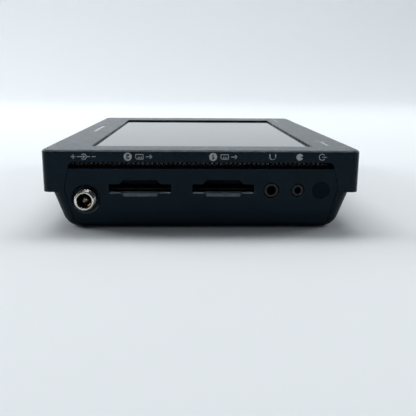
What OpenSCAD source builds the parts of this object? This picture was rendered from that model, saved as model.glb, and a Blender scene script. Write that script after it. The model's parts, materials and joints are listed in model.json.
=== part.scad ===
// Portable screen recorder lying on its back, screen up, +Z out of the screen.
// The card-slot end faces -Y, the signal end +Y, and the power button side is +X.
// The origin is the middle of the flat back, on the surface that it lies on.

/* [Case] */
// Length from the card-slot end to the signal end
body_l = 184.15; // [180:0.05:190]
// Width across the short side
body_w = 127; // [125:0.5:130]
// Thickness from the flat back to the bezel face
body_h = 31.5; // [31.5:0.5:34]
// Height of the step where the rear housing meets the front frame
step_z = 14.7; // [14:0.1:15.2]
// Radius of the front frame's four upright corners
corner_r = 3; // [2:0.5:4]
// Chamfer round the bezel face
edge = 0.6; // [0.4:0.1:1.2]
// Thickness of the front frame's side walls
wall = 3.4; // [3:0.1:3.6]

/* [Rear housing] */
// Half width of the housing at the step
tub_half_w = 60.1; // [59.6:0.1:60.1]
// How far each long side leans out for every millimetre of height
lean = 0.375; // [0.3:0.005:0.4]
// Radius along the two long lower edges
tub_r = 7; // [5:0.5:8]
// Width of the rounded band beside each end panel
band = 4.6; // [3.5:0.1:5]
// Height of the rounded band under each end panel
band_low = 1.65; // [1:0.05:2]
// Wall thickness of the housing
skin = 2; // [1.6:0.1:2.2]

/* [Screen] */
// Width of the screen opening
view_w = 92.8; // [90:0.1:94]
// Length of the screen opening
view_l = 148.5; // [146:0.1:150]
// Middle of the screen opening across the case
view_x = 0.4; // [0:0.1:0.8]
// Middle of the screen opening along the case
view_y = -4.05; // [-5:0.05:-3]
// Depth of the glass below the bezel face
glass_drop = 0.8; // [0.6:0.1:1.4]

/* [End panels] */
// Height of the panel's top edge
panel_top = 24.1; // [23.5:0.1:24.3]
// Height of the top of the vent slot above it
vent_top = 26.7; // [26:0.1:26.9]
// Half width of the panel at its top edge
panel_top_half = 52.9; // [52:0.1:53.2]
// Half width of the panel at its widest
panel_mid_half = 54.6; // [54:0.1:54.8]
// Thickness of the panel plates
panel_t = 5; // [4.8:0.1:5.2]
// Gap along the panel's seam
seam = 0.18; // [0.1:0.02:0.25]

/* [Battery bays] */
// Length of each bay, contacts to latch
bay_l = 59.8; // [59.6:0.1:60]
// Width of each bay
bay_w = 39.4; // [39:0.1:39.6]
// Depth of each bay
bay_d = 22.3; // [21.8:0.1:22.3]

/* [Moving pieces] */
// Travel of the power button
button_travel = 0.6; // [0.3:0.1:0.7]
// Travel of each battery latch
latch_travel = 2.2; // [1.8:0.1:2.2]
// Travel of each card carriage
card_travel = 4; // [3:0.5:4]

/* [Hidden] */
$fn = 64;

end_y = body_l / 2;
half_w = body_w / 2;
eps = 0.1;
thin = 0.02;

// Levels through the stack, from the bezel down to the board.
glass_top = body_h - glass_drop;
glass_t = 1.1;
gasket_t = 0.2;
lcd_t = 1.4;
backlight_t = 3;
bracket_t = 0.8;
lip_z = glass_top + gasket_t;
lcd_top = glass_top - glass_t;
light_top = lcd_top - lcd_t;
bracket_top = light_top - backlight_t;
bracket_z = bracket_top - bracket_t;
roof_z = 28;
glass_over = 4.4;
view_x0 = view_x - view_w / 2;
view_x1 = view_x + view_w / 2;
view_y0 = view_y - view_l / 2;
view_y1 = view_y + view_l / 2;
board_z = 18.1;
board_t = 1.6;

// Corner arc of the housing's section.
lean_angle = atan(lean);
turn = 90 - lean_angle;

// Places of the fasteners.
case_screw_spots = [for (sx = [-1, 1], y = [-66, -34, 34, 66]) [sx * 45.5, y]];
post_spots = [for (sx = [-1, 1], sy = [-1, 1]) [sx * 47.5, sy * 50]];
bracket_screw_spots = [for (sx = [-1, 1], y = [-80, -30, 30, 80]) [sx * 56, y]];
insert_ys = [-60, 0, 60];
insert_z = 23;
insert_r = 4;
thread_r = 2.55;
insert_len = 7.9;

// Battery bays lie side by side along the case.
bay_x1 = 28.8;
bay_x0 = bay_x1 - bay_l;
web = 1.8;
bay_ys = [-(bay_w + web) / 2, (bay_w + web) / 2];
bay_wall = 1.6;

// Centres of what the card-slot end carries.
card_x = [8.6, -24.75];
card_z = 16.25;
slot_w = 24.8;
slot_h = 3.2;
dc_x = -46.4;
dc_z = 11.8;
dc_out = 4;
phones_x = 28;
remote_x = 38.7;
jack_z = 15.4;
button_x = 48;
button_r = 3.45;

// Centres of what the signal end carries.
mic_xs = [-42, -23.5];
mic_z = 11.2;
hdmi_xs = [-5, 13];
hdmi_z = 15.2;
sdi_xs = [30, 45.2];
sdi_z = 10.6;
sdi_out = 8.4;

fan_x = 41.2;
fan_half = 10;
fan_z = skin + 0.3;
fan_h = 8;
speaker_x = -41.8;
speaker_r = 8.9;

panel_in = -end_y + panel_t;

// ---------- helpers ----------

// A box given by two opposite corners.
module block(a, b) {
    translate(a) cube(b - a);
}

// A round bar along Z, and the same along Y and X.
module rod_z(x, y, r, z0, z1) {
    translate([x, y, z0]) cylinder(h = z1 - z0, r = r);
}

module rod_y(x, z, r, y0, y1) {
    translate([x, y1, z]) rotate([90, 0, 0]) cylinder(h = y1 - y0, r = r);
}

module rod_x(y, z, r, x0, x1) {
    translate([x0, y, z]) rotate([0, 90, 0]) cylinder(h = x1 - x0, r = r);
}

// An outline in X and Z drawn out along Y.
module sweep_y(points, y0, y1) {
    translate([0, y1, 0]) rotate([90, 0, 0]) linear_extrude(y1 - y0) polygon(points);
}

// A flat plate with round corners.
module plate(x0, y0, x1, y1, r, z0, z1) {
    translate([0, 0, z0]) linear_extrude(z1 - z0) round_rect(x0, y0, x1, y1, r);
}

module round_rect(x0, y0, x1, y1, r) {
    union() {
        translate([x0 + r, y0]) square([x1 - x0 - 2 * r, y1 - y0]);
        translate([x0, y0 + r]) square([x1 - x0, y1 - y0 - 2 * r]);
        for (x = [x0 + r, x1 - r], y = [y0 + r, y1 - r]) translate([x, y]) circle(r);
    }
}

// A plate over the screen opening, grown by g, and by far at the signal end.
module view_plate(g, far, r, z0, z1) {
    plate(view_x0 - g, view_y0 - g, view_x1 + g, view_y1 + far, r, z0, z1);
}

function arc(c, r, a0, a1, n) =
    [for (i = [0 : n]) c + r * [cos(a0 + (a1 - a0) * i / n), sin(a0 + (a1 - a0) * i / n)]];

function mirrored(half) =
    concat(half, [for (i = [len(half) - 1 : -1 : 0]) [-half[i].x, half[i].y]]);

// Section across the housing: flat bottom, round lower corner, leaning side.
function tub_half(inset, low, r, top) =
    let (foot = tub_half_w - lean * step_z - inset + lean * low)
    let (c = [foot - r * tan(turn / 2), low + r])
    concat(arc(c, r, -90, -lean_angle, 8), [[foot + lean * (top - low), top]]);

// Outline of an end panel, grown by g on every side. The notch version runs up to the vent's top.
function panel_half(g) = concat(
    arc([48.4, band_low + 3.2], 3.2 + g, -90, -16, 5),
    [[panel_mid_half + g, 15.6], [panel_mid_half - 0.1 + g, 17.9], [panel_top_half + g, panel_top + g]]);

function notch_half(g) = concat(
    arc([48.4, band_low + 3.2], 3.2 + g, -90, -16, 5),
    [[panel_mid_half + g, 15.6], [panel_mid_half - 0.1 + g, 17.9], [panel_top_half + g, panel_top]],
    arc([panel_top_half - 2.1, vent_top - 2.2], 2.2, 12, 90, 6));

// ---------- front assembly ----------

module frame_outer() {
    hull() {
        plate(-half_w, -end_y, half_w, end_y, corner_r, step_z, body_h - edge);
        plate(-half_w + edge, -end_y + edge, half_w - edge, end_y - edge, corner_r - edge,
              step_z, body_h);
    }
}

module end_cutouts() {
    sweep_y(mirrored(notch_half(seam)), -end_y - eps, -end_y + wall + eps);
    block([-54.3, -end_y + 1.5, 20], [54.3, -end_y + wall + eps, vent_top + 0.9]);
}

module front_frame() {
    color([0.10, 0.11, 0.13]) difference() {
        union() {
            difference() {
                frame_outer();
                block([-half_w + wall, -end_y + wall, step_z - eps],
                      [half_w - wall, end_y - wall, roof_z]);
            }
            for (s = bracket_screw_spots) rod_z(s.x, s.y, 3.2, bracket_top, roof_z + 1);
            for (sx = [-1, 1], y = insert_ys)
                block([sx > 0 ? 54.4 : -half_w + 1, y - 7, 17.6],
                      [sx > 0 ? half_w - 1 : -54.4, y + 7, roof_z + 1]);
        }
        view_plate(0, 0, 0.8, lip_z - 1, body_h + eps);
        view_plate(glass_over + 0.3, glass_over + 0.3, 0.1, roof_z - 1, lip_z);
        end_cutouts();
        mirror([0, 1, 0]) end_cutouts();
        for (s = bracket_screw_spots) rod_z(s.x, s.y, 1.02, bracket_top - eps, roof_z);
        for (y = insert_ys) {
            rod_x(y, insert_z, insert_r, 54, half_w + eps);
            rod_x(y, insert_z, insert_r, -half_w - eps, -54);
        }
    }
}

module screen_gasket() {
    color([0.05, 0.05, 0.05]) difference() {
        view_plate(glass_over, glass_over, 2, glass_top, lip_z);
        view_plate(0.8, 0.8, 1, glass_top - eps, lip_z + eps);
    }
}

module touch_glass() {
    color([0.12, 0.13, 0.15]) view_plate(glass_over, glass_over, 2, lcd_top, glass_top);
}

module lcd_panel() {
    color([0.08, 0.09, 0.12]) view_plate(2.6, 3.4, 0.5, light_top, lcd_top);
}

module backlight_unit() {
    color([0.75, 0.77, 0.78]) difference() {
        view_plate(3.4, 4, 1, bracket_top, light_top);
        view_plate(-2, -2, 3, bracket_top - eps, bracket_top + 0.5);
    }
}

module display_bracket() {
    color([0.70, 0.71, 0.72]) difference() {
        plate(-59.2, -84.5, 59.2, 84.5, 3, bracket_z, bracket_top);
        for (sx = [-1, 1], y = insert_ys)
            block([sx > 0 ? 54 : -60, y - 7.6, bracket_z - eps],
                  [sx > 0 ? 60 : -54, y + 7.6, bracket_top + eps]);
        for (y = [-58, 58]) plate(-34, y - 9, 34, y + 9, 4, bracket_z - eps, bracket_top + eps);
        plate(-20, 75.6, 20, 82.4, 1, bracket_z - eps, bracket_top + eps);
        for (s = bracket_screw_spots) rod_z(s.x, s.y, 1.15, bracket_z - eps, bracket_top + eps);
    }
}

module bracket_standoffs() {
    color([0.80, 0.68, 0.36]) for (s = case_screw_spots) difference() {
        rod_z(s.x, s.y, 2.75, board_z - 0.1, bracket_z);
        rod_z(s.x, s.y, 1.27, board_z - 1, bracket_z + eps);
    }
}

module bracket_screws() {
    color([0.6, 0.6, 0.62]) for (s = bracket_screw_spots) {
        rod_z(s.x, s.y, 2, bracket_z - 1.2, bracket_z);
        rod_z(s.x, s.y, 1, bracket_z - 0.5, roof_z - 0.4);
    }
}

// Flat flexible cable from the display's far edge down to the board.
module display_cable() {
    half = 12;
    t = 0.3;
    y0 = view_y1 + 4;
    low = board_z + board_t;
    path = [[y0, light_top - 1], [79.4, light_top - 1], [79.4, low + t], [83, low + t],
            [83, low], [79.4 - t, low], [79.4 - t, light_top - 1 - t], [y0, light_top - 1 - t]];
    color([0.75, 0.45, 0.15]) translate([-half, 0, 0]) rotate([90, 0, 90])
        linear_extrude(2 * half) polygon(path);
}

// ---------- rear housing ----------

module tub_outer() {
    hull() for (s = [-1, 1], a = [0 : 15 : 90]) {
        y = s * (end_y - band * (1 - cos(a)));
        inner = 1 - sin(a);
        points = mirrored(tub_half(band * inner, band_low * inner, tub_r - 1.5 * inner, step_z));
        sweep_y(points, min(y, y - s * thin), max(y, y - s * thin));
    }
}

module bay_boxes() {
    block([bay_x0 - bay_wall, -bay_w - web / 2 - bay_wall, 0.5],
          [bay_x1 + bay_wall, bay_w + web / 2 + bay_wall, bay_d + 1]);
}

module bay_hollow(y) {
    block([bay_x0, y - bay_w / 2, -1], [bay_x1, y + bay_w / 2, bay_d]);
}

module latch_seat(y) {
    block([bay_x1 - eps, y - 7.3, -1], [bay_x1 + 13.4, y + 7.3, 3]);
    block([bay_x1 + 4.4, y - 2.2, 2], [bay_x1 + 10, y + 2.2, 6]);
}

// Slots in the floor under the fan, cut to a round outline.
module fan_vents() {
    for (i = [-3 : 3]) {
        y = i * 2.6;
        half = sqrt(pow(9, 2) - y * y);
        block([fan_x - half, y - 0.7, -eps], [fan_x + half, y + 0.7, skin + eps]);
    }
}

module speaker_vents() {
    for (i = [-3 : 3], j = [-3 : 3]) {
        p = [2.2 * (i + 0.5 * (j % 2)), 1.9 * j];
        if (norm(p) < 7.4)
            translate([speaker_x + p.x, p.y, -eps]) cylinder(h = skin + 2 * eps, r = 0.7, $fn = 6);
    }
}

module rear_housing() {
    color([0.08, 0.09, 0.11]) difference() {
        union() {
            difference() {
                tub_outer();
                sweep_y(mirrored(tub_half(skin + 0.1, skin, tub_r - 2, step_z + 1)),
                        -end_y + 3.8, end_y - 3.8);
            }
            for (sx = [-1, 1])
                block([sx > 0 ? 58.4 : -59.8, -84, 13.4], [sx > 0 ? 59.8 : -58.4, 84, 17.2]);
            bay_boxes();
            for (s = case_screw_spots) rod_z(s.x, s.y, 3.8, skin / 2, board_z - 0.15);
            for (s = post_spots) rod_z(s.x, s.y, 2.6, skin / 2, board_z);
            for (y = bay_ys) block([bay_x1, y - 9, 1], [bay_x1 + 15, y + 9, 4.2]);
        }
        for (s = [0, 1]) mirror([0, s, 0])
            sweep_y(mirrored(panel_half(seam)), -end_y - eps, panel_in + 0.1);
        for (y = bay_ys) {
            bay_hollow(y);
            latch_seat(y);
            block([bay_x0 - bay_wall - eps, y - 9.1, 5.9], [bay_x0 + eps, y + 9.1, 16.1]);
        }
        for (s = case_screw_spots) {
            rod_z(s.x, s.y, 1.45, -eps, board_z);
            rod_z(s.x, s.y, 2.9, -eps, 2.4);
        }
        for (s = post_spots) rod_z(s.x, s.y, 1.02, 9, board_z + eps);
        fan_vents();
        speaker_vents();
    }
}

module case_screws() {
    color([0.15, 0.15, 0.16]) for (s = case_screw_spots) difference() {
        union() {
            rod_z(s.x, s.y, 2.5, 0.4, 2.4);
            rod_z(s.x, s.y, 1.25, 2.3, 22.4);
        }
        translate([s.x, s.y, 0.3]) cylinder(h = 1.3, r = 1.15, $fn = 6);
    }
}

// ---------- end panels ----------

module panel_plate() {
    sweep_y(mirrored(panel_half(0)), -end_y, panel_in);
    intersection() {
        sweep_y(mirrored(panel_half(1.2)), panel_in - 1.1, panel_in);
        block([-60, -end_y, skin + 1], [60, 0, panel_top]);
    }
}

// Octagonal finger scoop that narrows down to the card slot.
module card_scoop(x) {
    function octagon(w, flat, h, side) = [[flat, -h], [w, -side], [w, side], [flat, h],
                                          [-flat, h], [-w, side], [-w, -side], [-flat, -h]];
    translate([x, -end_y, card_z]) rotate([-90, 0, 0]) hull() {
        translate([0, 0, -0.01]) linear_extrude(0.02) polygon(octagon(8.3, 6.6, 3.35, 1.6));
        translate([0, 0, 2.2]) linear_extrude(0.02) polygon(octagon(7.4, 7, 1.15, 0.7));
    }
}

module card_window(x) {
    block([x - slot_w / 2, -end_y - eps, card_z - slot_h / 2],
          [x + slot_w / 2, panel_in + eps, card_z + slot_h / 2]);
    // Small chamfer on the sill
    translate([x, -end_y, card_z - slot_h / 2]) rotate([45, 0, 0])
        cube([slot_w - 0.5, 0.8, 0.8], center = true);
}

module port_panel() {
    color([0.10, 0.11, 0.13]) difference() {
        panel_plate();
        for (x = card_x) {
            card_scoop(x);
            card_window(x);
        }
        rod_y(dc_x, dc_z, 4.05, -end_y - eps, panel_in + eps);
        rod_y(dc_x, dc_z, 5.2, -end_y - eps, -end_y + 2.2);
        translate([dc_x, -end_y - 0.01, dc_z]) rotate([-90, 0, 0]) cylinder(h = 0.7, r1 = 5.9, r2 = 5.2);
        rod_y(phones_x, jack_z, 3.2, -end_y - eps, panel_in + eps);
        rod_y(remote_x, jack_z, 2.75, -end_y - eps, panel_in + eps);
        rod_y(button_x, jack_z, button_r + 0.12, -end_y - eps, panel_in + eps);
    }
}

// Perforated strip behind a vent slot, with two staggered rows of holes.
module grille_strip() {
    pitch = 1.85;
    count = 56;
    difference() {
        block([-53.8, -end_y + 1.5, panel_top + 0.05], [53.8, -end_y + 2.1, vent_top + 0.7]);
        for (i = [0 : count], j = [0, 1]) {
            x = pitch * (i - count / 2 + 0.5 * j - 0.25);
            translate([x, -end_y + 1.4, panel_top + 0.9 + 1.15 * j]) rotate([-90, 0, 0])
                cylinder(h = 1, r = 0.6, $fn = 6);
        }
    }
}

module port_grille() {
    color([0.03, 0.03, 0.03]) grille_strip();
}

module signal_grille() {
    color([0.03, 0.03, 0.03]) mirror([0, 1, 0]) grille_strip();
}

module signal_panel() {
    color([0.10, 0.11, 0.13]) difference() {
        mirror([0, 1, 0]) panel_plate();
        for (x = mic_xs) rod_y(x, mic_z, 6.45, -panel_in - eps, end_y + eps);
        for (x = hdmi_xs)
            sweep_y([for (p = hdmi_outline(0.45)) p + [x, hdmi_z]], -panel_in - eps, end_y + eps);
        for (x = sdi_xs) rod_y(x, sdi_z, 6.1, -panel_in - eps, end_y + eps);
    }
}

// ---------- threaded inserts for tripod screws ----------

module insert_row() {
    for (y = insert_ys) difference() {
        rod_x(y, insert_z, insert_r - 0.02, half_w - 0.2 - insert_len, half_w - 0.2);
        rod_x(y, insert_z, thread_r, half_w - 1 - insert_len, half_w);
    }
}

module top_thread_inserts() {
    color([0.62, 0.62, 0.60]) insert_row();
}

module bottom_thread_inserts() {
    color([0.62, 0.62, 0.60]) mirror([1, 0, 0]) insert_row();
}

// ---------- boards ----------

module main_board() {
    color([0.05, 0.22, 0.14]) difference() {
        plate(-54, -86.5, 54, 86.5, 2, board_z, board_z + board_t);
        plate(bay_x0 - 2.2, -43, bay_x1 + 2.2, 43, 1, board_z - eps, board_z + board_t + eps);
        for (s = case_screw_spots) rod_z(s.x, s.y, 3.1, board_z - eps, board_z + board_t + eps);
        for (s = post_spots) rod_z(s.x, s.y, 1.15, board_z - eps, board_z + board_t + eps);
        // Room for the flange of the power button
        block([button_x - 4.8, -87, board_z - eps], [button_x + 4.8, -84.8, board_z + board_t + eps]);
    }
}

module board_screws() {
    top = board_z + board_t;
    color([0.7, 0.7, 0.72]) for (s = post_spots) difference() {
        union() {
            rod_z(s.x, s.y, 1.9, top, top + 1.2);
            rod_z(s.x, s.y, 1, top - 7, top + 0.1);
        }
        translate([s.x, s.y, top + 0.5]) cylinder(h = 1, r = 0.8, $fn = 6);
    }
}

module video_processor() {
    color([0.12, 0.12, 0.13]) {
        block([-11.5, 46, board_z - 0.8], [11.5, 69, board_z]);
        block([-9, 48.5, board_z - 2], [9, 66.5, board_z - 0.8]);
    }
}

module memory_chips() {
    color([0.1, 0.1, 0.1]) for (x = [-30, -16, 16, 30])
        block([x - 5.2, 50, board_z + board_t], [x + 5.2, 63, board_z + board_t + 1.1]);
}

module heat_sink() {
    top = board_z - 2;
    color([0.72, 0.73, 0.75]) {
        block([-17, 44.5, top - 3], [17, 70.5, top]);
        for (i = [0 : 7]) {
            x = -16.4 + i * 4.52;
            block([x - 0.6, 44.5, 5], [x + 0.6, 70.5, top - 2.9]);
        }
    }
}

module clock_battery() {
    color([0.75, 0.76, 0.78]) {
        rod_z(0, -52.5, 6.25, board_z - 2.1, board_z - 0.5);
        block([-7.5, -54.5, board_z - 0.5], [7.5, -50.5, board_z]);
    }
}

// ---------- card sockets ----------

socket_y0 = panel_in + 0.15;
socket_y1 = -60.5;
socket_low = board_z - slot_h;

module sd_socket(x) {
    color([0.75, 0.76, 0.78]) difference() {
        block([x - 12.9, socket_y0, socket_low], [x + 12.9, socket_y1, board_z]);
        block([x - 12.5, socket_y0 - eps, socket_low + 0.3], [x + 12.5, socket_y1 - 0.6, board_z - 0.3]);
    }
}

module card_carriage(x) {
    color([0.15, 0.15, 0.16]) {
        block([x + 9.9, -77, socket_low + 0.5], [x + 12.2, -66.8, board_z - 0.5]);
        block([x + 5, -68.4, socket_low + 0.5], [x + 12.2, -66.8, board_z - 0.5]);
    }
}

module sd_socket_1() {
    sd_socket(card_x[0]);
}

module sd_socket_2() {
    sd_socket(card_x[1]);
}

module card_carriage_1() {
    card_carriage(card_x[0]);
}

module card_carriage_2() {
    card_carriage(card_x[1]);
}

// ---------- power socket ----------

barrel_y0 = -end_y - dc_out;
barrel_r = 3.97;
barrel_bore = 2.9;
dc_body_y0 = panel_in + 0.1;

module dc_jack_barrel() {
    pitch = 0.79;
    turns = 7;
    depth = 0.42;
    // Profile in radius and length, with one groove for each turn of the thread
    points = concat(
        [[barrel_bore, 0.25], [barrel_bore + 0.25, 0], [barrel_r - 0.45, 0], [barrel_r, 0.4]],
        [for (i = [0 : turns - 1], k = [0, 1, 2])
            [k == 1 ? barrel_r - depth : barrel_r, 0.55 + pitch * (i + k / 2.2)]],
        [[barrel_r, 12], [barrel_bore, 12]]);
    color([0.80, 0.79, 0.76]) translate([dc_x, barrel_y0, dc_z]) rotate([-90, 0, 0])
        rotate_extrude() polygon(points);
}

module dc_jack_body() {
    color([0.05, 0.05, 0.05]) difference() {
        block([dc_x - 5.2, dc_body_y0, dc_z - 5.6], [dc_x + 5.2, -75, board_z]);
        rod_y(dc_x, dc_z, barrel_r + 0.02, dc_body_y0 - eps, barrel_y0 + 12);
        rod_y(dc_x, dc_z, barrel_bore, barrel_y0 + 11, -77.5);
    }
}

module dc_jack_pin() {
    y0 = barrel_y0 + 1.2;
    color([0.82, 0.82, 0.80]) difference() {
        union() {
            rod_y(dc_x, dc_z, 1.05, y0 + 0.5, -77.5);
            translate([dc_x, y0 + 0.5, dc_z]) rotate([90, 0, 0]) cylinder(h = 0.5, r1 = 1.05, r2 = 0.6);
        }
        translate([dc_x, y0, dc_z]) rotate([0, 35, 0]) cube([3, 7, 0.5], center = true);
    }
}

// Leaf that presses on the outside of the plug.
module dc_jack_spring() {
    color([0.72, 0.42, 0.22]) translate([dc_x, 0, dc_z]) rotate([0, 50, 0])
        block([2.2, barrel_y0 + 2.2, -0.8], [2.65, -77.6, 0.8]);
}

// ---------- jacks and button ----------

module jack_body(x, w, depth, bore) {
    difference() {
        block([x - w / 2, panel_in + 0.1, jack_z - 2.9], [x + w / 2, panel_in + depth, board_z]);
        rod_y(x, jack_z, bore, panel_in - eps, panel_in + depth - 1);
    }
}

module jack_bush(x, r, bore) {
    difference() {
        rod_y(x, jack_z, r, -end_y + 0.3, panel_in + 0.1);
        rod_y(x, jack_z, bore, -end_y, panel_in + 1);
    }
}

module headphone_jack() {
    color([0.04, 0.04, 0.04]) jack_body(phones_x, 7, 13, 1.8);
}

module headphone_bush() {
    color([0.35, 0.36, 0.38]) jack_bush(phones_x, 2.85, 1.8);
}

module remote_jack() {
    color([0.04, 0.04, 0.04]) jack_body(remote_x, 6, 11.5, 1.3);
}

module remote_bush() {
    color([0.35, 0.36, 0.38]) jack_bush(remote_x, 2.4, 1.3);
}

switch_y0 = panel_in + 3.2;

module power_button() {
    color([0.07, 0.09, 0.13]) {
        rod_y(button_x, jack_z, button_r, -end_y + 0.15, panel_in + 0.3);
        rod_y(button_x, jack_z, button_r + 0.8, panel_in + 0.2, panel_in + 1.1);
        rod_y(button_x, jack_z, 1.2, panel_in + 1, switch_y0 - button_travel - 0.05);
    }
}

module power_switch() {
    color([0.2, 0.2, 0.2]) {
        block([button_x - 3.1, switch_y0, jack_z - 3.1], [button_x + 3.1, switch_y0 + 4, board_z]);
    }
}

// ---------- signal sockets ----------

mic_step = 8;
mic_in = 73.5;

module mic_socket(x) {
    color([0.70, 0.70, 0.72]) difference() {
        union() {
            rod_y(x, mic_z, 6.3, mic_in, end_y + 0.3);
            block([x - 4, mic_in, mic_z], [x + 4, mic_in + 8, board_z]);
        }
        rod_y(x, mic_z, 5.2, end_y + 0.3 - mic_step, end_y + 1);
        rod_y(x, mic_z, 5, mic_in + 1.5, end_y);
    }
}

module mic_socket_1() {
    mic_socket(mic_xs[0]);
}

module mic_socket_2() {
    mic_socket(mic_xs[1]);
}

module mic_inserts() {
    color([0.04, 0.04, 0.04]) for (x = mic_xs) difference() {
        rod_y(x, mic_z, 4.98, mic_in + 1.5, end_y + 0.3 - mic_step);
        for (a = [90, 210, 330])
            rod_y(x + 2.4 * cos(a), mic_z + 2.4 * sin(a), 0.6, mic_in + 3, end_y);
    }
}

// Outline of the video connector's shell about its centre, grown by g.
function hdmi_outline(g) =
    mirrored([[4.9 + g, -2.8 - g], [5.6 + g, -1.9 - g], [7.4 + g, -0.4], [7.4 + g, 2.8 + g]]);

module hdmi_socket(x) {
    color([0.75, 0.76, 0.78]) difference() {
        sweep_y([for (p = hdmi_outline(0)) p + [x, hdmi_z]], 80, end_y - 0.2);
        sweep_y([for (p = hdmi_outline(-0.35)) p + [x, hdmi_z]], 81.5, end_y);
    }
}

module hdmi_input_socket() {
    hdmi_socket(hdmi_xs[0]);
}

module hdmi_output_socket() {
    hdmi_socket(hdmi_xs[1]);
}

module hdmi_tongues() {
    color([0.05, 0.05, 0.05]) for (x = hdmi_xs)
        block([x - 5.6, 81.5, hdmi_z + 0.1], [x + 5.6, end_y - 1.6, hdmi_z + 1.1]);
}

sdi_tip = end_y + sdi_out;

// Bayonet connector: block on the board, collar through the panel, two side lugs.
module sdi_socket(x) {
    color([0.78, 0.78, 0.76]) difference() {
        union() {
            rod_y(x, sdi_z, 4.8, -panel_in - 1, sdi_tip);
            rod_y(x, sdi_z, 6, -panel_in - 1, end_y + 0.8);
            block([x - 7, 72.5, sdi_z - 7.2], [x + 7, -panel_in - 0.2, board_z]);
            rod_x(end_y + 4.6, sdi_z, 0.95, x - 5.6, x + 5.6);
        }
        rod_y(x, sdi_z, 4.05, 84, sdi_tip + eps);
    }
}

module sdi_input_socket() {
    sdi_socket(sdi_xs[0]);
}

module sdi_output_socket() {
    sdi_socket(sdi_xs[1]);
}

module sdi_insulators() {
    color([0.92, 0.92, 0.90]) for (x = sdi_xs) difference() {
        union() {
            rod_y(x, sdi_z, 4.03, 84, end_y);
            rod_y(x, sdi_z, 2.5, 84, sdi_tip - 1.2);
        }
        rod_y(x, sdi_z, 1.02, 85, sdi_tip);
    }
}

module sdi_contacts() {
    color([0.85, 0.68, 0.30]) for (x = sdi_xs) difference() {
        rod_y(x, sdi_z, 1, 85, sdi_tip - 1.4);
        rod_y(x, sdi_z, 0.5, 90, sdi_tip);
    }
}

// ---------- battery latches and contacts ----------

// Sprung catch beside a bay: a ridged thumb pad, a nib over the battery and a stem through the floor.
module battery_latch(y) {
    x0 = bay_x1;
    color([0.16, 0.17, 0.19]) difference() {
        union() {
            block([x0 - 1.4, y - 5, 0.35], [x0 + 0.5, y + 5, 1.15]);
            block([x0 + 0.25, y - 7, 0.35], [x0 + 10.7, y + 7, 2.8]);
            block([x0 + 4.7, y - 1.9, 2.7], [x0 + 7.5, y + 1.9, 4.5]);
            block([x0 + 3.2, y - 4, 4.4], [x0 + 9.4, y + 4, 5.4]);
        }
        for (i = [0 : 4])
            block([x0 + 2.4 + 1.6 * i, y - 5.6, 0.2], [x0 + 3.1 + 1.6 * i, y + 5.6, 0.8]);
    }
}

module battery_latch_1() {
    battery_latch(bay_ys[0]);
}

module battery_latch_2() {
    battery_latch(bay_ys[1]);
}

module contact_blocks() {
    color([0.06, 0.06, 0.06]) for (y = bay_ys) {
        block([bay_x0 - bay_wall, y - 9, 6], [bay_x0, y + 9, 16]);
        block([bay_x0 - 3.4, y - 10.5, 5], [bay_x0 - bay_wall, y + 10.5, 17]);
    }
}

module contact_blades() {
    color([0.85, 0.70, 0.35]) for (y = bay_ys, k = [-6, -2, 2, 6])
        block([bay_x0, y + k - 0.3, 8.5], [bay_x0 + 2.1, y + k + 0.3, 13.5]);
}

// ---------- fan and speaker ----------

module fan_frame() {
    color([0.07, 0.07, 0.07]) difference() {
        union() {
            difference() {
                plate(fan_x - fan_half, -fan_half, fan_x + fan_half, fan_half, 1.5, fan_z, fan_z + fan_h);
                rod_z(fan_x, 0, 9.2, fan_z - eps, fan_z + fan_h + eps);
            }
            rod_z(fan_x, 0, 4.2, fan_z + fan_h - 1.4, fan_z + fan_h);
            for (a = [0 : 120 : 240]) translate([fan_x, 0, fan_z + fan_h - 1.4]) rotate([0, 0, a])
                translate([3, -0.7, 0]) cube([6.6, 1.4, 1.4]);
        }
        rod_z(fan_x, 0, 0.76, fan_z, fan_z + fan_h + eps);
        for (sx = [-1, 1], sy = [-1, 1])
            rod_z(fan_x + 8.2 * sx, 8.2 * sy, 0.8, fan_z - eps, fan_z + fan_h + eps);
    }
}

module fan_rotor() {
    low = fan_z + 0.5;
    high = fan_z + fan_h - 1.9;
    color([0.10, 0.10, 0.11]) {
        rod_z(fan_x, 0, 4.1, low, high);
        rod_z(fan_x, 0, 0.7, low, fan_z + fan_h - 0.2);
        for (i = [0 : 6]) translate([fan_x, 0, (low + high) / 2]) rotate([0, 0, i * 360 / 7])
            translate([6.2, 0, 0]) rotate([38, 0, 0]) cube([4.9, 4.6, 0.7], center = true);
    }
}

module speaker_basket() {
    color([0.55, 0.56, 0.58]) difference() {
        union() {
            rod_z(speaker_x, 0, speaker_r, skin + 0.2, 7.4);
            rod_z(speaker_x, 0, 5.6, 7.3, 10.4);
        }
        rod_z(speaker_x, 0, speaker_r - 0.7, skin, 6.4);
    }
}

module speaker_cone() {
    color([0.08, 0.08, 0.08]) translate([speaker_x, 0, skin + 0.7]) rotate_extrude() polygon(
        [[0, 1.2], [2.5, 2.2], [6.3, 0.5], [7.1, 0.9], [8.1, 0.5], [8.1, 0.2], [7.1, 0.6], [6.3, 0.2],
         [2.5, 1.9], [0, 0.9]]);
}

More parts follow.
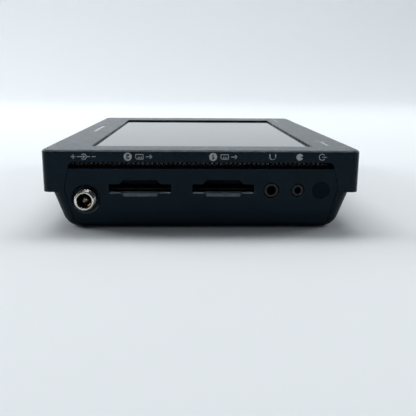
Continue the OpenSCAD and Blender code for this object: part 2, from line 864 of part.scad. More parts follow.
front_frame();
screen_gasket();
touch_glass();
lcd_panel();
backlight_unit();
display_bracket();
bracket_standoffs();
bracket_screws();
display_cable();
rear_housing();
case_screws();
port_panel();
port_grille();
signal_panel();
signal_grille();
top_thread_inserts();
bottom_thread_inserts();
main_board();
board_screws();
video_processor();
memory_chips();
heat_sink();
clock_battery();
sd_socket_1();
sd_socket_2();
card_carriage_1();
card_carriage_2();
dc_jack_barrel();
dc_jack_body();
dc_jack_pin();
dc_jack_spring();
headphone_jack();
headphone_bush();
remote_jack();
remote_bush();
power_button();
power_switch();
mic_socket_1();
mic_socket_2();
mic_inserts();
hdmi_input_socket();
hdmi_output_socket();
hdmi_tongues();
sdi_input_socket();
sdi_output_socket();
sdi_insulators();
sdi_contacts();
battery_latch_1();
battery_latch_2();
contact_blocks();
contact_blades();
fan_frame();
fan_rotor();
speaker_basket();
speaker_cone();
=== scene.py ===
"""The looks of the portable screen recorder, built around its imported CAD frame."""
import bpy
import bmesh
import json
import math
from mathutils import Matrix, Vector


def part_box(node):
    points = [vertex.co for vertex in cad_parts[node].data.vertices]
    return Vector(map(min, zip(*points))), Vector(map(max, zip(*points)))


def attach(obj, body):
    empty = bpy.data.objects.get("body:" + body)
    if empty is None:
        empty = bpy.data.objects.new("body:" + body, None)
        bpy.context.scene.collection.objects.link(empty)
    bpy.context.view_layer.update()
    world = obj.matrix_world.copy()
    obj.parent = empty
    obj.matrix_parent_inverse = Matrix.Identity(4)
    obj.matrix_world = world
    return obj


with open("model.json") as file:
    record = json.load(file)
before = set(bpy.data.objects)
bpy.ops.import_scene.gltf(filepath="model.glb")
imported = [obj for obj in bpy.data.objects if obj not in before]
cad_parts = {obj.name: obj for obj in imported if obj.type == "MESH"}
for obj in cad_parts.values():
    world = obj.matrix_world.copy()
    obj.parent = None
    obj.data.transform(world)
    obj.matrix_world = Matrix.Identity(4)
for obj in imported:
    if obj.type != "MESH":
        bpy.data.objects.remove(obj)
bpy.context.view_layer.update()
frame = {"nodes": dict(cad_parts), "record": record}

MM = 0.001
CASE = "case"
nodes = frame["nodes"]

# Faces of the case that the pieces are placed from, in metres
case_low, case_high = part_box("front_frame")
port_face = case_low.y
signal_face = case_high.y
table_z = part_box("rear_housing")[0].z
BAY_ROOF = 22.3 * MM

# The sweep behind the object, in metres, and the strength of the painted glow on its wall
FLOOR_NEAR, WALL_Y, WALL_TOP, BEND, HALF_WIDTH = -6.0, 1.6, 1.6, 0.5, 6.0
WALL_GLOW = 0.13

# Linear shades of the surround
FRONT_DARK = (0.008, 0.014, 0.02)
BACK_PALE = (0.80, 0.84, 0.86)
HORIZON_GREY = (0.42, 0.45, 0.47)

# Paint: the coat's dark shade with a painted blue cast, a painted blue tint on what it mirrors, and ledges
# painted paler, as bare paint and as a painted highlight
# The coat is dark; its blue is a painted cast of cool light
PAINT = (0.003, 0.005, 0.008)
PAINTED_REFLECTION_TINT = (0.46, 0.77, 1.0)
LEDGE_HIGHLIGHT = (0.15, 0.15, 0.153)

# The printed symbols: height of their row on both end faces, in millimetres, and the thickness of the ink
SYMBOL_ROW = 28.9
INK_THICK = 0.03 * MM

# The tripod thread: 1/4 inch, with 20 turns to the inch
THREAD_PITCH, THREAD_DEPTH, THREAD_SINK = 1.27 * MM, 0.42 * MM, 0.03 * MM

# A microphone socket's three pins: radius of a pin, and of the circle that they stand on
PIN_R, PIN_CIRCLE_R = 0.55 * MM, 2.4 * MM


# ---------- camera, light and floor ----------

def add_camera():
    """A low camera in front of the card-slot end, tilted a little down."""
    place = Vector((-0.0044, -0.3148, 0.0594))
    yaw, pitch, roll = -0.031, 0.226, 0.007
    forward = Vector((-math.sin(yaw) * math.cos(pitch), math.cos(yaw) * math.cos(pitch), -math.sin(pitch)))
    level = Vector((math.cos(yaw), math.sin(yaw), 0))
    up = level.cross(forward)
    right = math.cos(roll) * level + math.sin(roll) * up
    up = math.cos(roll) * up - math.sin(roll) * level
    data = bpy.data.cameras.new("camera")
    data.lens = 48.96
    data.sensor_width = 36
    data.clip_start = 0.01
    camera = bpy.data.objects.new("camera", data)
    turn = Matrix((right, up, -forward)).transposed().to_4x4()
    camera.matrix_world = Matrix.Translation(place) @ turn
    bpy.context.scene.collection.objects.link(camera)
    bpy.context.scene.camera = camera


def add_area(name, place, target, size, power, colour):
    data = bpy.data.lights.new(name, "AREA")
    data.shape = "RECTANGLE"
    data.size, data.size_y = size
    data.energy = power
    data.color = colour
    light = bpy.data.objects.new(name, data)
    light.location = place
    aim = Vector(target) - Vector(place)
    light.rotation_euler = aim.to_track_quat("-Z", "Y").to_euler()
    bpy.context.scene.collection.objects.link(light)


def colour_sockets(sockets):
    """A Mix node's colour sockets. They share their names with its float and vector ones."""
    return [s for s in sockets if s.type == "RGBA"]


def add_world():
    """A pale surround: bright behind the object, dark in front of it, grey along the horizon."""
    world = bpy.data.worlds.new("studio")
    bpy.context.scene.world = world
    world.use_nodes = True
    tree = world.node_tree
    tree.nodes.clear()
    out = tree.nodes.new("ShaderNodeOutputWorld")
    back = tree.nodes.new("ShaderNodeBackground")
    coord = tree.nodes.new("ShaderNodeTexCoord")
    split = tree.nodes.new("ShaderNodeSeparateXYZ")
    tree.links.new(coord.outputs["Generated"], split.inputs[0])

    def smooth_step(value, start, end):
        step = tree.nodes.new("ShaderNodeMapRange")
        step.interpolation_type = "SMOOTHSTEP"
        step.inputs["From Min"].default_value = start
        step.inputs["From Max"].default_value = end
        tree.links.new(value, step.inputs["Value"])
        return step.outputs["Result"]

    # From dark in front to pale behind
    shades = tree.nodes.new("ShaderNodeValToRGB")
    shades.color_ramp.elements[0].color = (*FRONT_DARK, 1)
    shades.color_ramp.elements[1].color = (*BACK_PALE, 1)
    tree.links.new(smooth_step(split.outputs["Y"], -0.05, 0.4), shades.inputs["Fac"])
    # A grey band along the horizon, all the way round
    rise = tree.nodes.new("ShaderNodeMath")
    rise.operation = "ABSOLUTE"
    tree.links.new(split.outputs["Z"], rise.inputs[0])
    band = tree.nodes.new("ShaderNodeMix")
    band.data_type = "RGBA"
    black, grey = colour_sockets(band.inputs)
    black.default_value = (0, 0, 0, 1)
    grey.default_value = (*HORIZON_GREY, 1)
    tree.links.new(smooth_step(rise.outputs[0], 0.2, 0.06), band.inputs[0])
    # The lighter of the two
    lift = tree.nodes.new("ShaderNodeMix")
    lift.data_type = "RGBA"
    lift.blend_type = "LIGHTEN"
    lift.inputs[0].default_value = 1
    first, second = colour_sockets(lift.inputs)
    tree.links.new(shades.outputs["Color"], first)
    tree.links.new(colour_sockets(band.outputs)[0], second)
    tree.links.new(colour_sockets(lift.outputs)[0], back.inputs["Color"])
    tree.links.new(back.outputs["Background"], out.inputs["Surface"])


def add_floor():
    """A pale sweep: flat under the object, curving up into a wall behind it."""
    bend_start = WALL_Y - BEND
    section = [(FLOOR_NEAR, 0), (bend_start, 0)]
    steps = 16
    for i in range(1, steps + 1):
        a = math.pi / 2 * i / steps
        section.append((bend_start + BEND * math.sin(a), BEND - BEND * math.cos(a)))
    section.append((WALL_Y, WALL_TOP))
    mesh = bpy.data.meshes.new("floor")
    points = [(x, y, table_z + z) for x in (-HALF_WIDTH, HALF_WIDTH) for y, z in section]
    n = len(section)
    faces = [(i, n + i, n + i + 1, i + 1) for i in range(n - 1)]
    mesh.from_pydata(points, [], faces)
    for face in mesh.polygons:
        face.use_smooth = True
    floor = bpy.data.objects.new("floor", mesh)
    bpy.context.scene.collection.objects.link(floor)
    paper = Surface("paper", (0.80, 0.83, 0.85), 0.75)
    paper.set("Specular IOR Level", 0.2)
    # Painted glow: emission on the wall stands in for lights out of sight, more to the left, and more above
    # the view
    place = paper.split(paper.coord.outputs["Object"])
    glow = paper.spread(place["Y"], 0, WALL_GLOW, 0.75, 1.5)
    sideways = paper.spread(place["X"], 1.15, 0.82, -0.5, 0.6)
    low_part = paper.spread(place["Z"], 1, 0.62, 0.04, 0.3)
    high_part = paper.spread(place["Z"], 1, 3, 0.33, 0.5)
    wall = paper.times(paper.times(glow, sideways), paper.times(low_part, high_part))
    # Painted glow: the floor far in front, out of the key light's reach, gets emission in place of light
    far_floor = paper.spread(place["Y"], 0.45, 0, -2.6, -0.7)
    paper.set("Emission Color", (0.87, 0.95, 1.0, 1))
    paper.link(paper.plus(wall, far_floor), paper.shader.inputs["Emission Strength"])
    mesh.materials.append(paper.material)


# ---------- materials ----------

class Surface:
    """A Principled material whose colour, roughness and relief come from procedural nodes."""

    def __init__(self, name, colour, rough, metal=0.0):
        self.material = bpy.data.materials.new(name)
        self.material.use_nodes = True
        self.tree = self.material.node_tree
        self.shader = self.tree.nodes["Principled BSDF"]
        self.coord = self.tree.nodes.new("ShaderNodeTexCoord")
        self.height = self.tinted = None
        self.set("Base Color", (*colour, 1))
        self.set("Roughness", rough)
        self.set("Metallic", metal)
        self.colour = colour

    def set(self, socket, value):
        self.shader.inputs[socket].default_value = value

    def node(self, kind, **values):
        made = self.tree.nodes.new(kind)
        for key, value in values.items():
            if key in made.inputs:
                made.inputs[key].default_value = value
            else:
                setattr(made, key.lower(), value)
        return made

    def link(self, a, b):
        self.tree.links.new(a, b)

    def noise(self, scale, detail, stretch=(1, 1, 1)):
        """Noise in metres of the row frame: scale is how many cells fit in a metre."""
        place = self.node("ShaderNodeMapping", Scale=stretch)
        texture = self.node("ShaderNodeTexNoise", Scale=scale, Detail=detail)
        self.link(self.coord.outputs["Object"], place.inputs["Vector"])
        self.link(place.outputs["Vector"], texture.inputs["Vector"])
        return texture.outputs["Fac"]

    def spread(self, value, low, high, start=0.3, end=0.7):
        """Maps a value onto a range from low to high, as it goes from start to end."""
        made = self.node("ShaderNodeMapRange")
        made.inputs["From Min"].default_value = start
        made.inputs["From Max"].default_value = end
        made.inputs["To Min"].default_value = low
        made.inputs["To Max"].default_value = high
        self.link(value, made.inputs["Value"])
        return made.outputs["Result"]

    def split(self, vector):
        made = self.node("ShaderNodeSeparateXYZ")
        self.link(vector, made.inputs[0])
        return made.outputs

    def maths(self, operation, a, b):
        made = self.node("ShaderNodeMath", Operation=operation)
        self.link(a, made.inputs[0])
        self.link(b, made.inputs[1])
        return made.outputs[0]

    def times(self, a, b):
        return self.maths("MULTIPLY", a, b)

    def plus(self, a, b):
        return self.maths("ADD", a, b)

    def tint(self, value, low, high):
        """Colours the surface between two shades by a 0 to 1 value.

        A second call lays its high shade over what is there already.
        """
        mix = self.node("ShaderNodeMix")
        mix.data_type = "RGBA"
        under, over = colour_sockets(mix.inputs)
        under.default_value = (*low, 1)
        over.default_value = (*high, 1)
        self.link(value, mix.inputs[0])
        if self.tinted is not None:
            self.link(self.tinted, under)
        self.tinted = colour_sockets(mix.outputs)[0]
        self.link(self.tinted, self.shader.inputs["Base Color"])

    def vary_rough(self, value, low, high):
        self.link(self.spread(value, low, high), self.shader.inputs["Roughness"])

    def relief(self, value, depth, strength=None):
        """Adds bumps of that depth in metres, on top of any that are there already."""
        bump = self.node("ShaderNodeBump", Distance=depth)
        self.link(value, bump.inputs["Height"])
        if strength is not None:
            self.link(strength, bump.inputs["Strength"])
        if self.height is not None:
            self.link(self.height.outputs["Normal"], bump.inputs["Normal"])
        self.link(bump.outputs["Normal"], self.shader.inputs["Normal"])
        self.height = bump


def shade(colour, factor):
    return tuple(min(1.0, c * factor) for c in colour)


def smooth_and_highlight_ledges(made, rough, smooth):
    """Ledges and chamfers that face upward are smoother than the flat faces, from wear, and painted paler:
    bare paint and a painted highlight for the light that they catch.

    Returns 1 on the flat faces and nearly 0 on the smoothed ones, for the strength of the grain.
    """
    facing = made.split(made.coord.outputs["Normal"])["Z"]
    ledge = made.times(made.spread(facing, 0, 1, 0.2, 0.45), made.spread(facing, 1, 0, 0.9, 0.98))
    # Painted highlight: upward ledges are tinted paler, standing in for the light that they catch
    highlight_mask = made.times(ledge, made.spread(made.noise(400, 4), 0.6, 1))
    made.tint(highlight_mask, made.colour, LEDGE_HIGHLIGHT)
    dull = made.spread(ledge, rough, smooth, 0, 1)
    patches = made.spread(made.noise(350, 3), -0.03, 0.05)
    made.link(made.plus(dull, patches), made.shader.inputs["Roughness"])
    return made.spread(ledge, 1, 0.05, 0, 1)


def painted_case(name, colour, rough, grain, ior=1.3):
    """Fine powder coat: a pebbled skin, slow changes of shade, and smoother upper edges painted paler as a
    highlight.
    """
    made = Surface(name, colour, rough)
    made.set("IOR", ior)
    # Painted reflection: the coat's reflections are tinted blue, standing in for a cool cast of light
    made.set("Specular Tint", (*PAINTED_REFLECTION_TINT, 1))
    made.tint(made.spread(made.noise(60, 4), 0, 1), shade(colour, 0.8), shade(colour, 1.25))
    strength = smooth_and_highlight_ledges(made, rough, 0.08)
    made.relief(made.noise(grain, 2), 0.00004, strength)
    made.relief(made.noise(grain * 3.1, 2), 0.00001, strength)
    return made.material


def moulded_plastic(name, colour, rough, grain=4000, depth=0.00003, ior=1.4):
    """Moulded plastic with spark-eroded texture."""
    made = Surface(name, colour, rough)
    made.set("IOR", ior)
    made.tint(made.spread(made.noise(90, 3), 0, 1), shade(colour, 0.85), shade(colour, 1.15))
    made.vary_rough(made.noise(500, 2), rough - 0.05, rough + 0.06)
    made.relief(made.noise(grain, 2), depth)
    return made.material


def screen_glass():
    """Polished cover glass over a dark display, with a faint haze of finger marks."""
    colour = (0.006, 0.0065, 0.008)
    made = Surface("screen_glass", colour, 0.06)
    made.set("IOR", 1.5)
    # The inner face of the glass reflects too
    made.set("Coat Weight", 0.36)
    made.set("Coat Roughness", 0.05)
    made.vary_rough(made.noise(40, 5, (1, 0.6, 1)), 0.035, 0.09)
    made.tint(made.spread(made.noise(25, 2), 0, 1), colour, shade(colour, 1.4))
    made.relief(made.noise(20, 1), 0.000002)
    return made.material


def turned_metal(name, colour, rough, stretch=(1, 12, 1)):
    """Plated or turned metal with fine lathe lines and dull spots."""
    made = Surface(name, colour, rough, 1.0)
    fine = made.noise(2500, 2, stretch)
    made.vary_rough(fine, rough - 0.06, rough + 0.1)
    made.tint(made.spread(made.noise(300, 3), 0, 1), shade(colour, 0.82), shade(colour, 1.05))
    made.relief(fine, 0.000006)
    return made.material


def circuit_board():
    """Solder resist with traces showing through as slightly lighter bands."""
    made = Surface("circuit_board", (0.01, 0.07, 0.035), 0.35)
    bands = made.node("ShaderNodeTexWave", Scale=450.0, Distortion=6.0, Detail=1.0)
    made.link(made.coord.outputs["Object"], bands.inputs["Vector"])
    traces = made.spread(bands.outputs["Fac"], 0, 1, 0.45, 0.55)
    made.tint(traces, (0.008, 0.06, 0.03), (0.014, 0.09, 0.045))
    made.relief(traces, 0.00002)
    return made.material


def printed_ink(name, colour):
    """Screen-printed ink, a little uneven."""
    made = Surface(name, colour, 0.55)
    made.tint(made.spread(made.noise(2500, 3), 0, 1), shade(colour, 0.8), shade(colour, 1.05))
    made.relief(made.noise(5000, 2), 0.00001)
    return made.material


def build_materials():
    steel = (0.55, 0.56, 0.58)
    return {
        "case": painted_case("case", PAINT, 0.25, 3200),
        "case_rear": painted_case("case_rear", PAINT, 0.42, 2600),
        "panel": painted_case("panel", PAINT, 0.33, 3600),
        "black_foam": moulded_plastic("black_foam", (0.01, 0.01, 0.01), 0.8, 1500, 0.0001),
        "screen_glass": screen_glass(),
        "lcd": moulded_plastic("lcd", (0.02, 0.022, 0.03), 0.2),
        "bare_steel": turned_metal("bare_steel", steel, 0.3, (1, 8, 1)),
        "brass": turned_metal("brass", (0.72, 0.52, 0.22), 0.25, (1, 1, 12)),
        "flex_cable": moulded_plastic("flex_cable", (0.50, 0.24, 0.06), 0.3, 900),
        "black_steel": turned_metal("black_steel", (0.045, 0.045, 0.05), 0.35, (1, 1, 6)),
        "grille_black": moulded_plastic("grille_black", (0.001, 0.0012, 0.0016), 0.7, ior=1.12),
        "insert_steel": turned_metal("insert_steel", (0.42, 0.42, 0.40), 0.3, (10, 1, 1)),
        "circuit_board": circuit_board(),
        "chip_black": moulded_plastic("chip_black", (0.02, 0.02, 0.022), 0.5, 5000),
        "aluminium": turned_metal("aluminium", (0.70, 0.71, 0.72), 0.35, (1, 14, 1)),
        "black_plastic": moulded_plastic("black_plastic", (0.010, 0.010, 0.011), 0.4),
        "nickel": turned_metal("nickel", (0.78, 0.755, 0.69), 0.2, (1, 10, 1)),
        # Painted shade: a darker nickel for the centre pin deep in its barrel
        "shaded_nickel": turned_metal("shaded_nickel", (0.42, 0.40, 0.37), 0.25, (1, 10, 1)),
        "copper": turned_metal("copper", (0.66, 0.32, 0.14), 0.25),
        "grey_bush": moulded_plastic("grey_bush", (0.02, 0.024, 0.03), 0.3, ior=1.3),
        "button": painted_case("button", (0.002, 0.004, 0.008), 0.34, 4200, 1.2),
        "white_insulator": moulded_plastic("white_insulator", (0.80, 0.80, 0.76), 0.4),
        "gold": turned_metal("gold", (0.85, 0.62, 0.25), 0.2),
        "latch": moulded_plastic("latch", (0.020, 0.022, 0.025), 0.42),
        "speaker_paper": moulded_plastic("speaker_paper", (0.015, 0.015, 0.015), 0.9, 1200, 0.0001),
    }


def dress_nodes(materials):
    """Gives each CAD node the material of its slot in the record."""
    for part in frame["record"]["subparts"]:
        node = nodes[part["node"]]
        node.data.materials.clear()
        node.data.materials.append(materials[part["material_slot"]])
    # Painted shade: the centre pin, deep in its barrel, gets a darker nickel
    nodes["dc_jack_pin"].data.materials[0] = materials["shaded_nickel"]


SOFT_EDGES = {
    "front_frame": 0.28, "port_panel": 0.12, "signal_panel": 0.12, "rear_housing": 0.15,
    "power_button": 0.15, "headphone_bush": 0.15, "remote_bush": 0.12, "dc_jack_barrel": 0.06,
    "battery_latch_1": 0.12, "battery_latch_2": 0.12, "sdi_input_socket": 0.12, "sdi_output_socket": 0.12,
    "mic_socket_1": 0.12, "mic_socket_2": 0.12, "hdmi_input_socket": 0.06, "hdmi_output_socket": 0.06,
    "top_thread_inserts": 0.1, "bottom_thread_inserts": 0.1, "sdi_insulators": 0.08, "dc_jack_pin": 0.2,
}


def soften_edges(node, width):
    """A small round on a CAD node's sharp edges, kept inside its own faces."""
    weld = nodes[node].modifiers.new("weld", "WELD")
    weld.merge_threshold = 1e-6
    bevel = nodes[node].modifiers.new("bevel", "BEVEL")
    bevel.width = width
    bevel.segments = 2
    bevel.limit_method = "ANGLE"
    bevel.angle_limit = math.radians(30)
    bevel.use_clamp_overlap = True


# ---------- printed symbols ----------

class Print:
    """Flat symbols on a face, drawn in millimetres about each symbol's own centre.

    face is a point of the face; a symbol's centre is given along u and v, in the row frame. right and up
    say how a reader sees the symbols, and out points away from the face.
    """
    def __init__(self, name, face, u, v, right, up, out, body=CASE):
        self.name, self.body = name, body
        self.face, self.u, self.v = Vector(face), Vector(u), Vector(v)
        self.right, self.up, self.out = Vector(right), Vector(up), Vector(out)
        self.outlines = []

    def add(self, centre, points):
        at = self.face + (self.u * centre[0] + self.v * centre[1]) * MM
        self.outlines.append([at + (self.right * x + self.up * y) * MM for x, y in points])

    def disc(self, centre, r, count=24):
        turns = [2 * math.pi * i / count for i in range(count)]
        self.add(centre, [(r * math.cos(a), r * math.sin(a)) for a in turns])

    def sector(self, centre, r, start, end):
        """A filled slice of a disc between two angles, in degrees."""
        count = 24
        turns = [math.radians(start + (end - start) * i / count) for i in range(count + 1)]
        self.add(centre, [(0, 0)] + [(r * math.cos(a), r * math.sin(a)) for a in turns])

    def arc(self, centre, offset, r, width, start, end, count=20):
        """A curved stroke from one angle to another, in degrees."""
        turns = [math.radians(start + (end - start) * i / count) for i in range(count + 1)]
        for a, b in zip(turns, turns[1:]):
            self.add(centre, [
                (offset[0] + q * math.cos(t), offset[1] + q * math.sin(t))
                for q, t in ((r - width / 2, a), (r + width / 2, a), (r + width / 2, b), (r - width / 2, b))])

    def stroke(self, centre, points, width):
        """A straight stroke through the points, with square ends."""
        for a, b in zip(points, points[1:]):
            along = Vector((b[0] - a[0], b[1] - a[1])).normalized() * width / 2
            side = Vector((-along.y, along.x))
            p, q = Vector(a) - along, Vector(b) + along
            self.add(centre, [tuple(p - side), tuple(q - side), tuple(q + side), tuple(p + side)])

    def build(self, material, slot, lift=0.0):
        """Makes one mesh of closed flat prisms on the face."""
        form = bmesh.new()
        near = self.out * lift
        far = near + self.out * INK_THICK
        for outline in self.outlines:
            base = [form.verts.new(p + near) for p in outline]
            top = [form.verts.new(p + far) for p in outline]
            form.faces.new(top)
            form.faces.new(list(reversed(base)))
            for i in range(len(outline)):
                j = (i + 1) % len(outline)
                form.faces.new([base[i], base[j], top[j], top[i]])
        finish_form(form, self.name, material, self.body)


def finish_form(form, name, material, body, smooth=False):
    """Turns a bmesh into a piece that rides on a body."""
    bmesh.ops.recalc_face_normals(form, faces=form.faces)
    mesh = bpy.data.meshes.new(name)
    form.to_mesh(mesh)
    form.free()
    for face in mesh.polygons:
        face.use_smooth = smooth
    mesh.materials.append(material)
    made = bpy.data.objects.new(name, mesh)
    bpy.context.scene.collection.objects.link(made)
    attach(made, body)


# The two digits, as strokes in a box about one millimetre high
ONE = [[(-0.28, 0.32), (0.05, 0.62), (0.05, -0.62)]]
TWO = [[(-0.36, 0.32), (-0.2, 0.58), (0.16, 0.6), (0.36, 0.36), (0.3, 0.06), (-0.36, -0.58), (0.4, -0.58)]]


def card_symbol(page, centre):
    """A small memory card lying on its side, with its contacts."""
    page.stroke(centre, [(-1.5, -0.9), (-1.5, 0.9), (1.0, 0.9), (1.5, 0.4), (1.5, -0.9), (-1.5, -0.9)], 0.28)
    for i in range(3):
        page.stroke(centre, [(-0.8 + 0.65 * i, 0.1), (-0.8 + 0.65 * i, 0.5)], 0.26)


def slot_arrow(page, centre):
    """A short arrow along the row, from right to left for a reader."""
    page.stroke(centre, [(1.28, 0), (-0.88, 0)], 0.3)
    page.stroke(centre, [(-0.24, 0.64), (-0.96, 0), (-0.24, -0.64)], 0.3)


def end_page(name, face_y, outward):
    """A page on an end face. Its symbols stand upside down beside a resting object."""
    return Print(name, (0, face_y, 0), (1, 0, 0), (0, 0, 1), (outward, 0, 0), (0, 0, -1), (0, outward, 0))


def numbered_disc(page, digits, centre, digit):
    page.disc(centre, 1.6, 32)
    for points in digit:
        digits.stroke(centre, [(1.3 * x, 1.3 * y) for x, y in points], 0.42)


def port_symbols(ink, dark):
    """Symbols above the sockets of the card-slot end."""
    page = end_page("port_symbols", port_face, -1)
    digits = end_page("port_digits", port_face, -1)
    # Polarity of the power socket: minus, ring with a centre dot, plus
    dc = (-46.6, SYMBOL_ROW)
    page.stroke(dc, [(-4.6, 0), (-3.4, 0)], 0.32)
    page.stroke(dc, [(-2.4, 0), (-1.2, 0)], 0.3)
    page.arc(dc, (0, 0), 1.05, 0.3, 40, 320)
    page.disc(dc, 0.42)
    page.stroke(dc, [(0.4, 0), (2.4, 0)], 0.3)
    page.stroke(dc, [(3.4, 0), (4.8, 0)], 0.32)
    page.stroke(dc, [(4.1, -0.7), (4.1, 0.7)], 0.32)
    for x, digit in ((4.4, ONE), (-29.3, TWO)):
        numbered_disc(page, digits, (x, SYMBOL_ROW), digit)
        card_symbol(page, (x + 4.6, SYMBOL_ROW))
        slot_arrow(page, (x + 8.6, SYMBOL_ROW))
    # Headphones: a band and two ear pads
    phones = (28.1, SYMBOL_ROW)
    page.arc(phones, (0, -0.1), 1.15, 0.24, 0, 180)
    for side in (-1, 1):
        page.stroke(phones, [(side * 1.15, -0.1), (side * 1.15, -0.9)], 0.44)
    # Remote control: a disc with a slit
    page.sector((38.9, SYMBOL_ROW), 1.35, 197, 523)
    # Power: an open ring and a bar
    power = (47.9, SYMBOL_ROW)
    page.arc(power, (0, 0), 1.2, 0.26, 215, 505)
    page.stroke(power, [(-1.75, 0), (-0.15, 0)], 0.26)
    page.build(ink, "symbol_print")
    digits.build(dark, "case", INK_THICK)


def way_arrow(page, centre, inward):
    """An arrow to the socket below the row, or away from it."""
    tip = 1.15 if inward else -1.15
    page.stroke(centre, [(0, -tip), (0, tip)], 0.28)
    page.stroke(centre, [(-0.65, tip * 0.4), (0, tip), (0.65, tip * 0.4)], 0.28)


def signal_symbols(ink, dark):
    """Symbols above the sockets of the signal end."""
    page = end_page("signal_symbols", signal_face, 1)
    digits = end_page("signal_digits", signal_face, 1)
    # Microphones, numbered
    for x, digit in ((-42, ONE), (-23.5, TWO)):
        numbered_disc(page, digits, (x - 2.6, SYMBOL_ROW), digit)
        mic = (x + 2.0, SYMBOL_ROW)
        page.stroke(mic, [(0, 0.2), (0, 0.95)], 0.8)
        page.arc(mic, (0, 0.15), 0.85, 0.22, 180, 360)
        page.stroke(mic, [(0, -0.7), (0, -1.25)], 0.24)
        page.stroke(mic, [(-0.5, -1.3), (0.5, -1.3)], 0.24)
    # Picture in and out: a wide frame
    for x, inward in ((-5, True), (13, False)):
        frame_at = (x - 1.6, SYMBOL_ROW)
        page.stroke(frame_at, [(-1.9, -1.1), (-1.9, 1.1), (1.9, 1.1), (1.9, -1.1), (-1.9, -1.1)], 0.26)
        way_arrow(page, (x + 2.6, SYMBOL_ROW), inward)
    # Coaxial in and out: a ring round a dot
    for x, inward in ((30, True), (45.2, False)):
        page.arc((x - 1.5, SYMBOL_ROW), (0, 0), 1.2, 0.26, 0, 360, 32)
        page.disc((x - 1.5, SYMBOL_ROW), 0.4)
        way_arrow(page, (x + 2.0, SYMBOL_ROW), inward)
    page.build(ink, "symbol_print")
    digits.build(dark, "case", INK_THICK)


def bezel_marks(ink, amber):
    """Plain dashes and a ring on the bezel, where makers print a name."""
    top = (0, 0, case_high.z)
    axes = ((1, 0, 0), (0, 1, 0), (0, -1, 0), (1, 0, 0), (0, 0, 1))
    page = Print("bezel_marks", top, *axes)
    for i in range(9):
        page.stroke((-55.2, 17.6 - 3.5 * i), [(-1.0, 0), (1.0, 0)], 1.5)
    for i in range(6):
        page.stroke((52.6, 79 - 4 * i), [(-1.1, 0), (1.1, 0)], 0.9)
    for i in range(4):
        page.stroke((54.2, -63 - 3.3 * i), [(-0.9, 0), (0.9, 0)], 1.1)
    page.build(ink, "symbol_print")
    ring = Print("bezel_ring", top, *axes)
    ring.arc((54.2, -58.2), (0, 0), 1.7, 0.7, 0, 360, 32)
    ring.build(amber, "symbol_print")


def bay_symbols(ink):
    """A battery outline inside each bay and an arrow on each latch."""
    for number in (1, 2):
        latch = f"battery_latch_{number}"
        low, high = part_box(latch)
        middle = (low.y + high.y) / 2 / MM
        page = Print(f"latch_arrow_{number}", (0, 0, low.z), (1, 0, 0), (0, 1, 0),
                     (0, -1, 0), (1, 0, 0), (0, 0, -1), latch)
        page.add((low.x / MM + 2.6, middle), [(-1.5, -0.55), (1.5, -0.55), (0, 0.6)])
        page.build(ink, "symbol_print")
        roof = Print(f"bay_symbol_{number}", (0, 0, BAY_ROOF), (1, 0, 0), (0, 1, 0),
                     (0, -1, 0), (1, 0, 0), (0, 0, -1))
        centre = (low.x / MM - 30, middle)
        roof.stroke(centre, [(-7, -4), (-7, 4), (7, 4), (7, -4), (-7, -4)], 0.5)
        roof.stroke(centre, [(7.8, -1.4), (7.8, 1.4)], 0.9)
        roof.stroke(centre, [(2.6, 0), (5.2, 0)], 0.5)
        roof.stroke(centre, [(3.9, -1.3), (3.9, 1.3)], 0.5)
        roof.stroke(centre, [(-5.2, 0), (-2.6, 0)], 0.5)
        roof.build(ink, "symbol_print")


# ---------- threads and pins ----------

def wind_thread(form, middle, axis, length, r):
    """A ridge of triangular section wound inside a bore, closed at both ends."""
    per_turn = 24
    half = THREAD_PITCH * 0.45
    reach = length - 2.4 * half
    count = round(reach / THREAD_PITCH * per_turn)
    side = Vector((0, 0, 1))
    other = axis.cross(side)
    rows = []
    for i in range(count + 1):
        turn = 2 * math.pi * i / per_turn
        out = side * math.cos(turn) + other * math.sin(turn)
        at = middle + axis * (reach * (i / count - 0.5))
        rows.append([form.verts.new(p) for p in (
            at - axis * half + out * r, at + out * (r - THREAD_DEPTH), at + axis * half + out * r)])
    for a, b in zip(rows, rows[1:]):
        for j in range(3):
            k = (j + 1) % 3
            form.faces.new([a[j], a[k], b[k], b[j]])
    form.faces.new(rows[0])
    form.faces.new(list(reversed(rows[-1])))


def tripod_threads(material):
    """The thread inside each insert, at the places of the record's threaded holes."""
    holes = [m for m in frame["record"]["mounts"] if m["kind"] == "threaded_hole"]
    for name, sign in (("top_threads", 1), ("bottom_threads", -1)):
        form = bmesh.new()
        for hole in holes:
            axis = Vector(hole["axis"])
            if axis.x * sign > 0:
                length, r = hole["dims"]["length_mm"] * MM, hole["dims"]["r_mm"] * MM
                wind_thread(form, Vector(hole["pos_m"]), axis, length, r + THREAD_SINK)
        finish_form(form, name, material, CASE)


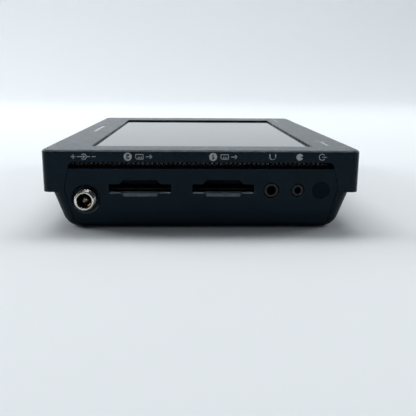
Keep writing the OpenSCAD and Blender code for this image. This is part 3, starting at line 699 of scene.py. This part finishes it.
def lathe_y(form, x, z, profile):
    """A closed turned solid along Y. profile is (y, r) pairs that start and end on the axis."""
    count = 16
    rings = []
    for y, r in profile:
        if r == 0:
            rings.append([form.verts.new((x, y, z))])
        else:
            rings.append([form.verts.new((x + r * math.cos(2 * math.pi * i / count), y,
                                          z + r * math.sin(2 * math.pi * i / count))) for i in range(count)])
    for a, b in zip(rings, rings[1:]):
        for i in range(count):
            j = (i + 1) % count
            loop = [a[i % len(a)], a[j % len(a)], b[j % len(b)], b[i % len(b)]]
            form.faces.new(list(dict.fromkeys(loop)))


def mic_pins(material):
    """Three contact pins that stand in each microphone socket."""
    insert_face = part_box("mic_inserts")[1].y
    form = bmesh.new()
    for mount in frame["record"]["mounts"]:
        if mount["name"].startswith("mic_socket_bore"):
            x, _, z = mount["pos_m"]
            for turn in (90, 210, 330):
                a = math.radians(turn)
                lathe_y(form, x + PIN_CIRCLE_R * math.cos(a), z + PIN_CIRCLE_R * math.sin(a), [
                    (insert_face - 4 * MM, 0), (insert_face - 4 * MM, PIN_R), (insert_face + 5.4 * MM, PIN_R),
                    (insert_face + 5.8 * MM, PIN_R * 0.6), (insert_face + 5.9 * MM, 0)])
    finish_form(form, "mic_pins", material, CASE, True)


def main():
    bpy.context.scene.view_settings.view_transform = "Standard"
    add_camera()
    add_world()
    add_floor()
    add_area("key", place=(-0.12, 0.72, 1.3), target=(0, 0, 0), size=(1.6, 0.5), power=15.5,
             colour=(0.99, 0.99, 1))
    for x, power in ((-1.5, 16), (1.5, 9)):
        add_area("fill", place=(x, 0.65, 0.5), target=(0, 0, 0), size=(0.8, 0.8), power=power,
                 colour=(0.97, 0.99, 1))
    # Two narrow strips overhead draw the light line along chamfers and sills
    for y in (-0.238, -0.333):
        add_area("strip", place=(0, y, 1.2), target=(0, -0.09, 0.02), size=(0.8, 0.014), power=0.3,
                 colour=(0.97, 0.98, 1))
    materials = build_materials()
    ink = printed_ink("white_print", (0.50, 0.52, 0.53))
    dress_nodes(materials)
    for name, width in SOFT_EDGES.items():
        soften_edges(name, width * MM)
    port_symbols(ink, materials["case"])
    signal_symbols(ink, materials["case"])
    bezel_marks(ink, printed_ink("amber_print", (0.55, 0.36, 0.22)))
    bay_symbols(ink)
    tripod_threads(materials["insert_steel"])
    mic_pins(materials["gold"])


main()
